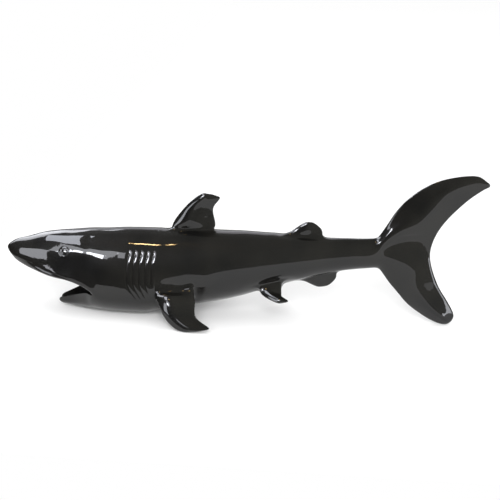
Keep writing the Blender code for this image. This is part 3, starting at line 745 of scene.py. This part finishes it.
# Cheek before the eye, where the flank of the snout turns: place, length and height;
# and the dimple behind it, under the eye, in the cheek's own lengths and heights
CHEEK = (-0.1925, 0.026, 0.00050)
DIMPLE_BACK, DIMPLE_DEPTH = 1.25, 1.7
DIMPLE_LEVELS = (0.054, 0.066)

# Levels and places over which the crown's waves grow, and how far the skin has to
# face sideways, as a part of its normal, to take the crease, lip and cheek
CROWN_LEVELS = (0.068, 0.077)
CROWN_PLACES = (-0.150, -0.110)
SIDEWAYS = (0.3, 0.6)


def put(thing):
    """Put an object into the scene."""
    bpy.context.scene.collection.objects.link(thing)
    return thing


def ease(value, low, high):
    """Smooth step from 0 at low to 1 at high."""
    t = np.clip((value - low) / (high - low), 0.0, 1.0)
    return t * t * (3 - 2 * t)


def fall(value, low, high):
    """Smooth step from 1 at low to 0 at high."""
    return ease(-value, -high, -low)


def hump(value, middle, reach):
    """Smooth hump from 0 over 1 in the middle back to 0, a reach to either side."""
    return np.cos(np.clip((value - middle) / reach, -1, 1) * math.pi / 2) ** 2


def waves(places, wave):
    """Heights of one set of waves at the places."""
    length, height, seed = wave
    return height * np.array([noise.noise(Vector(p) / length + Vector(seed)) for p in places])


def gill_cut(x, z, nose):
    """Depth of the grooves between rounded ribs, and how far places are in one."""
    cut = np.zeros_like(x)
    dull = np.zeros_like(x)
    for i in range(GILL_COUNT):
        line = nose + GILL_MIDDLE * LENGTH + (i - (GILL_COUNT - 1) / 2) * GILL_PITCH
        drop = np.clip((GILL_BEND - z) / GILL_SWEEP_DROP, 0.0, None)
        line = line + GILL_SWEEPS[i] * drop ** GILL_SWEEP_POWER
        rise = np.clip((z - GILL_HIGH_BEND) / GILL_HIGH_RISE, 0.0, 1.0)
        line = line + GILL_HIGH_LEAN * rise ** GILL_HIGH_POWER
        away = np.abs(x - line)
        rib = GILL_CUT * (RIB_LOW + (1 - RIB_LOW) * ease(z, *RIB_LEVELS))
        rib = rib * (1 - np.sin(math.pi * np.clip(away / GILL_PITCH, 0, 0.5)))
        fine = GILL_LINE * np.exp(-(away / GILL_LINE_WIDTH) ** 2)
        fade = ease(z, GILL_FEET[i], GILL_FEET[i] + GILL_FOOT_FADE)
        fade = fade * fall(z, GILL_TOP - GILL_TOP_FADE, GILL_TOP)
        cut = np.maximum(cut, (rib + fine) * fade)
        floor = np.exp(-(away / DULL_WIDTH) ** 4)
        dull = np.maximum(dull, floor * fade * fall(z, *DULL_LEVELS))
    return cut, dull


# Upper lip before the corner of the mouth: between which places the swelling grows and
# ends, how far it swells, and how far that reaches up and down from the lip
SWELL_GROWS = (-0.2080, -0.1640)
SWELL_ENDS = (-0.1540, -0.1400)
LIP_SWELL = 0.0013
SWELL_UP = 0.0110
SWELL_DOWN = 0.0045


def lip_crease(x, z, nose, ground):
    """How far places on the side of the head are in the crease, and on the swollen lip."""
    places = (x - nose) / LENGTH
    rows = np.array(HEAD)
    lip = np.interp(places, rows[:, 0], rows[:, 3]) * BODY_DEPTH - ground
    rise = CREASE_RISE * np.clip((CREASE_TO - x) / (CREASE_TO - CREASE_FROM), 0.0, 1.0)
    fade = ease(x, *CREASE_GROWS) * fall(x, *CREASE_ENDS)
    above = z - lip
    near = np.where(above > 0, 1 - ease(above, 0.0, SWELL_UP), ease(above, -SWELL_DOWN, 0.0))
    near = near * ease(x, *SWELL_GROWS) * fall(x, *SWELL_ENDS)
    return np.exp(-((above - rise) / CREASE_WIDTH) ** 2) * fade, near


def smoothed(cage, levels):
    """Object with the cage's smooth surface."""
    mesh = bpy.data.meshes.new("shark_skin")
    mesh.from_pydata(cage.points, [], cage.faces)
    figure = put(bpy.data.objects.new("shark_skin", mesh))
    bm = bmesh.new()
    bm.from_mesh(mesh)
    loose = [v for v in bm.verts if not v.link_faces]
    bmesh.ops.delete(bm, geom=loose, context="VERTS")
    bmesh.ops.recalc_face_normals(bm, faces=bm.faces)
    bm.to_mesh(mesh)
    bm.free()
    smooth = figure.modifiers.new("Smooth", "SUBSURF")
    smooth.levels = levels
    smooth.render_levels = levels
    bpy.context.view_layer.objects.active = figure
    figure.select_set(True)
    bpy.ops.object.modifier_apply(modifier=smooth.name)
    return figure


def skin(cage, levels):
    """Fine surface drawn from the cage and carved, standing where the solid stands."""
    figure = smoothed(cage, levels)
    mesh = figure.data
    places = np.empty(len(mesh.vertices) * 3)
    mesh.vertices.foreach_get("co", places)
    places = places.reshape(-1, 3)
    normals = np.empty(len(mesh.vertices) * 3)
    mesh.vertex_normals.foreach_get("vector", normals)
    normals = normals.reshape(-1, 3)
    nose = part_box("shark_figure")[0].x
    ground = places[:, 2].min() + BELLY_FLAT
    places += (nose - places[:, 0].min(), 0.0, -ground)
    x, y, z = places.T
    sideways = ease(normals[:, 1] * np.sign(y), *SIDEWAYS)
    cut, dull = gill_cut(x, z, nose)
    crease, swollen = lip_crease(x, z, nose, ground)
    crease = crease * sideways
    cut = cut + CREASE_DEPTH * crease - LIP_SWELL * swollen * sideways
    dull = np.maximum(dull, crease)
    mesh.attributes.new("dull", "FLOAT", "POINT").data.foreach_set("value", dull)
    cheek, reach, rise = CHEEK
    cut = cut - rise * hump(x, cheek, reach) * sideways
    dimple = hump(x, cheek + DIMPLE_BACK * reach, reach) * fall(z, *DIMPLE_LEVELS)
    cut = cut + DIMPLE_DEPTH * rise * dimple * sideways
    for wave in WAVES:
        cut = cut + waves(places, wave)
    cut = cut + waves(places, HEAD_WAVE) * ease(z, *CROWN_LEVELS) * fall(x, *CROWN_PLACES)
    places -= normals * cut[:, None]
    places[:, 2] = np.maximum(places[:, 2], 0.0)
    mesh.vertices.foreach_set("co", places.ravel())
    mesh.update()
    mesh.shade_smooth()
    return figure


# Eye: place on the side, and rings of radius and height above the skin
EYE_PLACE = (-0.1748, 0.0631)
EYE_RINGS = (
    (0.0002, 0.00030), (0.0007, 0.00030), (0.0012, 0.00029), (0.0017, 0.00028), (0.0021, 0.00026),
    (0.0024, 0.00022), (0.0026, 0.00015), (0.0028, 0.00007), (0.0030, 0.00002), (0.0032, 0.00001),
    (0.0034, 0.00003), (0.0037, 0.00011), (0.0040, 0.00019), (0.0043, 0.00023), (0.0046, 0.00021),
    (0.0050, 0.00013), (0.0055, 0.00005), (0.0060, 0.00002), (0.0066, 0.00001),
)
EYE_TURNS = 64

# The eye faces the way that the skin faces on average this far round it, and rays
# find the skin from this far out, and from this far above it for the rings
EYE_ROUND = 0.004
RAY_START = 0.1
EYE_LIFT = 0.01


def eye(figure, side):
    """Rounded eyeball in a raised ring, laid on the side of the head."""
    tree = BVHTree.FromObject(figure, bpy.context.evaluated_depsgraph_get())
    x, z = EYE_PLACE
    inward = Vector((0, -side, 0))
    centre = tree.ray_cast(Vector((x, side * RAY_START, z)), inward)[0]
    steps = (-EYE_ROUND, 0, EYE_ROUND)
    around = [tree.ray_cast(centre + Vector((dx, side * RAY_START, dz)), inward)[1]
              for dx in steps for dz in steps]
    out = sum(around, Vector()).normalized()
    fore = (Vector((1, 0, 0)) - out * out.x).normalized()
    up = out.cross(fore)
    points, faces = [], []
    for radius, height in EYE_RINGS:
        for i in range(EYE_TURNS):
            turn = 2 * math.pi * i / EYE_TURNS
            along_skin = (fore * math.cos(turn) + up * math.sin(turn)) * radius
            start = centre + along_skin + out * EYE_LIFT
            points.append(tree.ray_cast(start, -out)[0] + out * height)
    for r in range(len(EYE_RINGS) - 1):
        for i in range(EYE_TURNS):
            j = (i + 1) % EYE_TURNS
            a, b = r * EYE_TURNS, (r + 1) * EYE_TURNS
            faces.append((a + i, b + i, b + j, a + j))
    faces.append(tuple(reversed(range(EYE_TURNS))))
    mesh = bpy.data.meshes.new("eye")
    mesh.from_pydata(points, [], faces)
    bm = bmesh.new()
    bm.from_mesh(mesh)
    bmesh.ops.recalc_face_normals(bm, faces=bm.faces)
    if sum((f.normal for f in bm.faces), Vector()).dot(out) < 0:
        bmesh.ops.reverse_faces(bm, faces=bm.faces)
    bm.to_mesh(mesh)
    bm.free()
    mesh.shade_smooth()
    return put(bpy.data.objects.new("eye_port" if side < 0 else "eye_starboard", mesh))


def linear(colour):
    """Linear colour of an sRGB hex value."""
    parts = [int(colour[i:i + 2], 16) / 255 for i in (1, 3, 5)]
    return [c / 12.92 if c <= 0.04045 else ((c + 0.055) / 1.055) ** 2.4 for c in parts] + [1.0]


def add(tree, kind, inputs=(), **settings):
    """Add a node with its settings, and values or links for its inputs."""
    node = tree.nodes.new(kind)
    for name, value in settings.items():
        setattr(node, name, value)
    for name, value in dict(inputs).items():
        if isinstance(value, bpy.types.NodeSocket):
            tree.links.new(value, node.inputs[name])
        else:
            node.inputs[name].default_value = value
    return node


# Lacquer: clouds of its thickness, strokes of the buffing wheel, and orange peel, whose
# real 1 to 2 mm is drawn at 3 mm so that it shows at about a millimetre to the pixel
CLOUD_LENGTH = 0.040
BUFF_LENGTH = 0.012
PEEL_LENGTH = 0.003
PEEL_HEIGHT = 0.000016


def black_lacquer(name, grooved):
    """Black polyurethane lacquer, sprayed over a cast resin body and polished.

    It mirrors the room sharply, with the faint orange peel that the spray leaves and
    buffing doesn't level. The black under it is a touch browner and rougher in wide
    soft clouds, where the coat lies thinner. The wheel misses the floor of the grooves.
    """
    material = bpy.data.materials.new(name)
    material.use_nodes = True
    tree = material.node_tree
    shader = tree.nodes["Principled BSDF"]
    shader.inputs["IOR"].default_value = 1.5
    shader.inputs["Specular IOR Level"].default_value = 0.05
    shader.inputs["Coat Weight"].default_value = 1.0
    # Polyurethane has 1.5; a little less, as the photograph's gloss mirrors weakly
    shader.inputs["Coat IOR"].default_value = 1.43
    on_part = add(tree, "ShaderNodeTexCoord").outputs["Object"]
    patterns = []
    for length, detail in ((CLOUD_LENGTH, 2.0), (BUFF_LENGTH, 3.0), (PEEL_LENGTH, 1.0)):
        inputs = {"Vector": on_part, "Scale": 1.0 / length, "Detail": detail}
        patterns.append(add(tree, "ShaderNodeTexNoise", inputs).outputs["Fac"])
    clouds, strokes, peel = patterns
    thin = add(tree, "ShaderNodeMapRange",
               {"Value": clouds, "From Min": 0.35, "From Max": 0.65}).outputs[0]
    # Sockets 0, 6 and 7 are the factor and the two colours, and 2 is the mixed colour
    tone = add(tree, "ShaderNodeMix", {0: thin, 6: linear("#0A0A0A"), 7: linear("#12110F")},
               data_type="RGBA")
    rough = add(tree, "ShaderNodeMapRange", {"Value": thin, "To Min": 0.30, "To Max": 0.42})
    haze = add(tree, "ShaderNodeMapRange", {"Value": strokes, "To Min": 0.015, "To Max": 0.045})
    bump = add(tree, "ShaderNodeBump", {"Height": peel, "Distance": PEEL_HEIGHT})
    for output, goal in ((tone.outputs[2], "Base Color"), (rough.outputs[0], "Roughness"),
                         (haze.outputs[0], "Coat Roughness"), (bump.outputs[0], "Coat Normal")):
        tree.links.new(output, shader.inputs[goal])
    if grooved:
        dull = add(tree, "ShaderNodeAttribute", attribute_name="dull").outputs["Fac"]
        shine = add(tree, "ShaderNodeMapRange", {"Value": dull, "To Min": 1.0, "To Max": 0.1})
        tree.links.new(shine.outputs[0], shader.inputs["Coat Weight"])
    return material


def table():
    """White paper on a table that ends before the figure, so that its flank mirrors the edge."""
    front, rear, left, right = -0.33, 3.0, -0.31, 3.0
    corners = [(left, front, 0), (right, front, 0), (right, rear, 0), (left, rear, 0)]
    mesh = bpy.data.meshes.new("table")
    mesh.from_pydata(corners, [], [(0, 1, 2, 3)])
    top = put(bpy.data.objects.new("table", mesh))
    material = bpy.data.materials.new("white_paper")
    material.use_nodes = True
    shader = material.node_tree.nodes["Principled BSDF"]
    shader.inputs["Base Color"].default_value = linear("#F4F4F4")
    shader.inputs["Roughness"].default_value = 0.9
    shader.inputs["Specular IOR Level"].default_value = 0.1
    mesh.materials.append(material)


# Points that the lamps are placed from, and the lamps: name, point, azimuth from
# straight ahead toward the nose, elevation, distance, width, height, radiance, colour
# and turn in its own plane. The gloss mirrors the cards; the fills light the floor.
HEAD_POINT = (-0.15, -0.02, 0.06)
BACK_POINT = (-0.10, -0.02, 0.08)
CARDS = (
    ("window", HEAD_POINT, 33, 36, 1.6, 0.46, 0.40, 7.0, "#F6F8FF", 0),
    ("window_pane", HEAD_POINT, 18.5, 37, 1.6, 0.17, 0.30, 6.5, "#F6F8FF", 12),
    ("window_sill", HEAD_POINT, 32.4, 31.5, 1.58, 0.31, 0.19, 40.0, "#F6F8FF", 0),
    ("side_window", HEAD_POINT, 46.5, 13.5, 1.6, 0.33, 0.74, 8.0, "#F6F8FF", 0),
    ("side_wall", HEAD_POINT, 63, 56, 1.8, 1.00, 0.46, 13.0, "#E9ECF6", -42),
    ("corner_wall", HEAD_POINT, 120, 45, 1.8, 1.50, 0.80, 10.0, "#F2F4FA", 0),
    ("rear_wall", HEAD_POINT, 185, 38, 2.2, 2.2, 1.4, 2.0, "#ECEBF4", 0),
    ("ceiling_lamp", BACK_POINT, 25.5, 60, 1.4, 0.150, 0.035, 28.0, "#FFD28A", 0),
    ("ceiling_lamp_core", BACK_POINT, 25, 60, 1.38, 0.075, 0.060, 44.0, "#FFDDA0", 0),
    ("right_strip", (0.18, 0, 0.06), -46, 0, 1.5, 0.26, 0.5, 9.0, "#F6F8FF", 0),
)
FILLS = (
    ("overhead_diffuser", (0, 0, 0), 0, 89.9, 2.5, 5.0, 5.0, 0.10, "#FFFFFF", 0),
    ("front_diffuser", (0, 0, 0), -6, 28, 3.0, 1.5, 1.5, 12.0, "#FFFFFF", 0),
)


def direction(azimuth, elevation):
    """Unit vector toward a place seen from the figure, azimuth toward the nose."""
    left, up = math.radians(azimuth), math.radians(elevation)
    return Vector((-math.sin(left) * math.cos(up), -math.cos(left) * math.cos(up), math.sin(up)))


def lamp(name, aim, azimuth, elevation, distance, width, height, radiance, tint, turn):
    """Rectangle of even light that faces a point of the figure."""
    toward = direction(azimuth, elevation)
    data = bpy.data.lights.new(name, "AREA")
    data.shape = "RECTANGLE"
    data.size, data.size_y = width, height
    data.energy = radiance * math.pi * width * height
    data.color = linear(tint)[:3]
    light = put(bpy.data.objects.new(name, data))
    light.location = Vector(aim) + toward * distance
    across = Vector((0, 0, 1)).cross(toward).normalized()
    facing = Matrix((across, toward.cross(across), toward)).transposed()
    light.rotation_euler = (facing @ Matrix.Rotation(math.radians(turn), 3, "Z")).to_euler()
    light.visible_camera = False
    return light


def studio():
    """Cards of light that the lacquer mirrors, soft fill and a room darker at the nose."""
    for row in CARDS:
        lamp(*row).visible_diffuse = False
    for row in FILLS:
        lamp(*row).visible_glossy = False
    world = bpy.data.worlds.new("studio")
    bpy.context.scene.world = world
    world.use_nodes = True
    tree = world.node_tree
    paper = tree.nodes["Background"]
    paper.inputs["Color"].default_value = (1, 1, 1, 1)
    paper.inputs["Strength"].default_value = 1.0
    where = add(tree, "ShaderNodeTexCoord").outputs["Generated"]
    split = add(tree, "ShaderNodeSeparateXYZ", {0: where})
    wall = add(tree, "ShaderNodeMapRange", {"Value": split.outputs["X"], "From Min": -0.45,
                                            "From Max": 0.25, "To Min": 0.05, "To Max": 0.55})
    room = add(tree, "ShaderNodeBackground",
               {"Color": linear("#F0F0E4"), "Strength": wall.outputs[0]})
    glossy = add(tree, "ShaderNodeLightPath").outputs["Is Glossy Ray"]
    mix = add(tree, "ShaderNodeMixShader", {0: glossy, 1: paper.outputs[0], 2: room.outputs[0]})
    tree.links.new(mix.outputs[0], tree.nodes["World Output"].inputs["Surface"])


# Camera: seen from toward the tail, raised, tilted about its axis, how far off, the
# width that it sees there, and the point that it looks at
CAMERA_AZIMUTH = -6.0
CAMERA_ELEVATION = 18.0
CAMERA_TILT = 0.0145
CAMERA_DISTANCE = 1.3
WIDTH_SEEN = 0.495
CAMERA_TARGET = (0.0080, 0.0, 0.0678)
SENSOR_WIDTH = 36


def camera():
    """Camera at the photograph's viewing angle, a little tilted about its axis."""
    back = direction(CAMERA_AZIMUTH, CAMERA_ELEVATION)
    right = Vector((0, 0, 1)).cross(back).normalized()
    data = bpy.data.cameras.new("camera")
    data.sensor_width = SENSOR_WIDTH
    data.lens = SENSOR_WIDTH * CAMERA_DISTANCE / WIDTH_SEEN
    data.clip_start = 0.01
    viewer = put(bpy.data.objects.new("camera", data))
    turn = Matrix((right, back.cross(right), back)).transposed()
    tilt = CAMERA_TILT * math.cos(math.radians(CAMERA_ELEVATION))
    viewer.rotation_euler = (turn @ Matrix.Rotation(tilt, 3, "Z")).to_euler()
    viewer.location = Vector(CAMERA_TARGET) + back * CAMERA_DISTANCE
    bpy.context.scene.camera = viewer


skin_finish = black_lacquer("black_lacquer", True)
eye_finish = black_lacquer("black_lacquer_eyes", False)
figure = skin(build_cage(), SKIN_LEVELS)
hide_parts("shark_figure")
eyes = [(eye(figure, side), eye_finish) for side in (-1, 1)]
for piece, finish in ((figure, skin_finish), *eyes):
    piece.data.materials.append(finish)
    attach(piece, "root")
table()
studio()
camera()
bpy.context.scene.view_settings.view_transform = "Standard"
